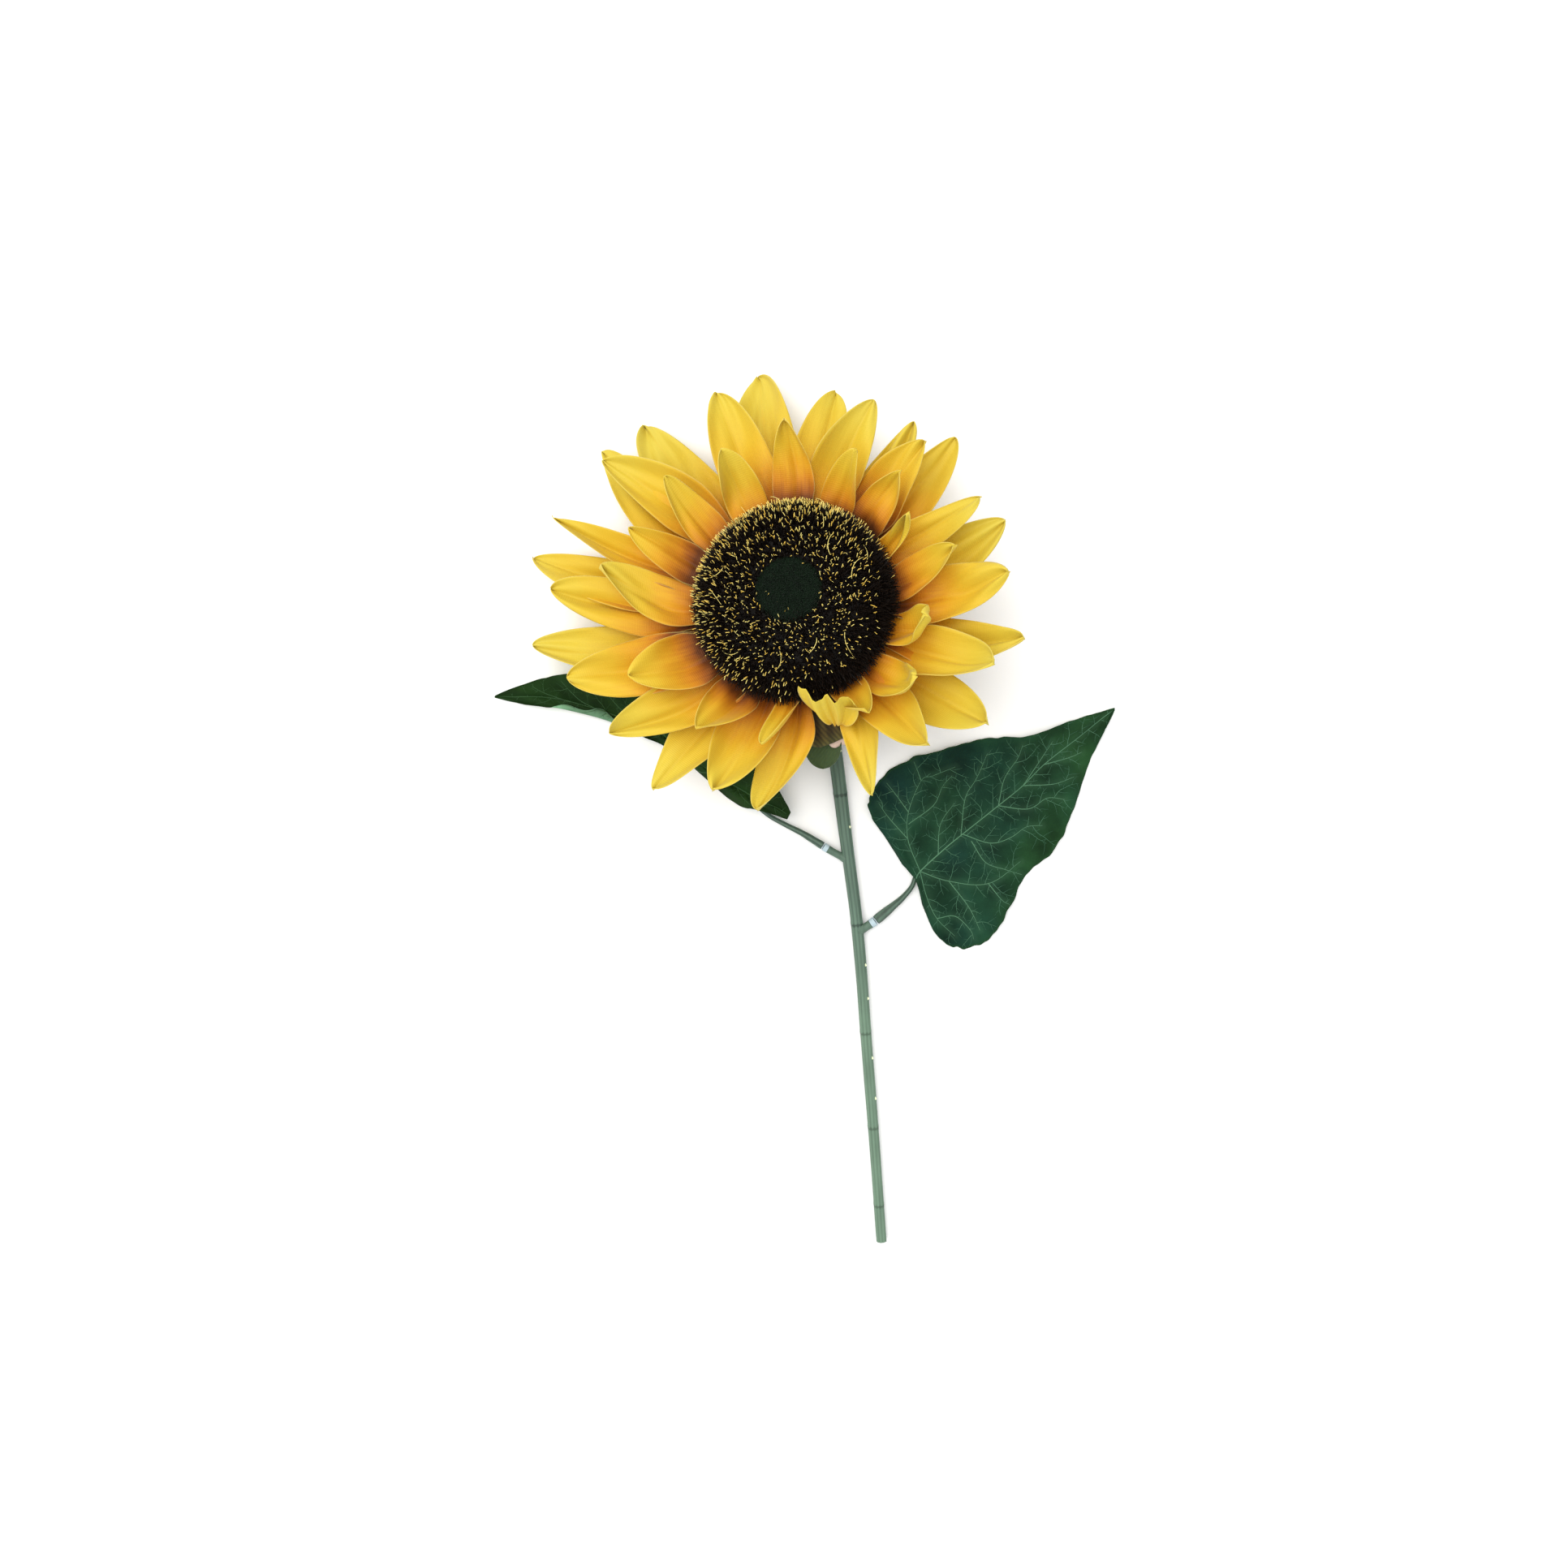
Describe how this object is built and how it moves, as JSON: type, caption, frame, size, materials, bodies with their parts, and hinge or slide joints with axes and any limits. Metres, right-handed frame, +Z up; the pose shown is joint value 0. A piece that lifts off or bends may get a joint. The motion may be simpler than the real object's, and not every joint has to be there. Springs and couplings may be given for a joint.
{
  "type": "artificial sunflower stem",
  "caption": "Silk sunflower on a wired plastic stem with leaves, lying on its back, for vases and floral displays.",
  "frame": {"origin": "centre of the bounding box's underside, on the surface the flower lies on", "axes": "+Y from the cut stem end towards the head, +Z up, out of the flower's face, +X to the right seen from above"},
  "size_m": [0.2636, 0.366, 0.0673],
  "materials": {
    "petal_cloth": "dyed woven polyester with a satin sheen, orange at the root and yellow at the tip",
    "sepal_cloth": "matt woven polyester, mid green",
    "calyx_cloth": "ribbed olive brown cloth",
    "cup_plastic": "bare pale moulded plastic",
    "peg_plastic": "bare moulded plastic",
    "bristles": "dense dark fibres, some with golden tips",
    "flock": "dark green flock",
    "stem_plastic": "ribbed sage green moulded plastic",
    "steel_wire": "drawn wire",
    "leaf_cloth": "printed polyester with pressed veins, paler underneath"
  },
  "bodies": {
    "root": {"petal_ring_back": "petal_cloth", "petal_ring_middle": "petal_cloth", "petal_ring_front": "petal_cloth", "sepal_ring": "sepal_cloth", "calyx_disc": "calyx_cloth", "receptacle_cup": "cup_plastic", "centre_peg": "peg_plastic", "seed_head_core": "cup_plastic", "bristle_pile": "bristles", "centre_button": "flock", "stem_coating": "stem_plastic", "stem_wire": "steel_wire", "leaf_stalk_left": "stem_plastic", "leaf_stalk_right": "stem_plastic", "leaf_left": "leaf_cloth", "leaf_right": "leaf_cloth"}
  },
  "joints": []
}
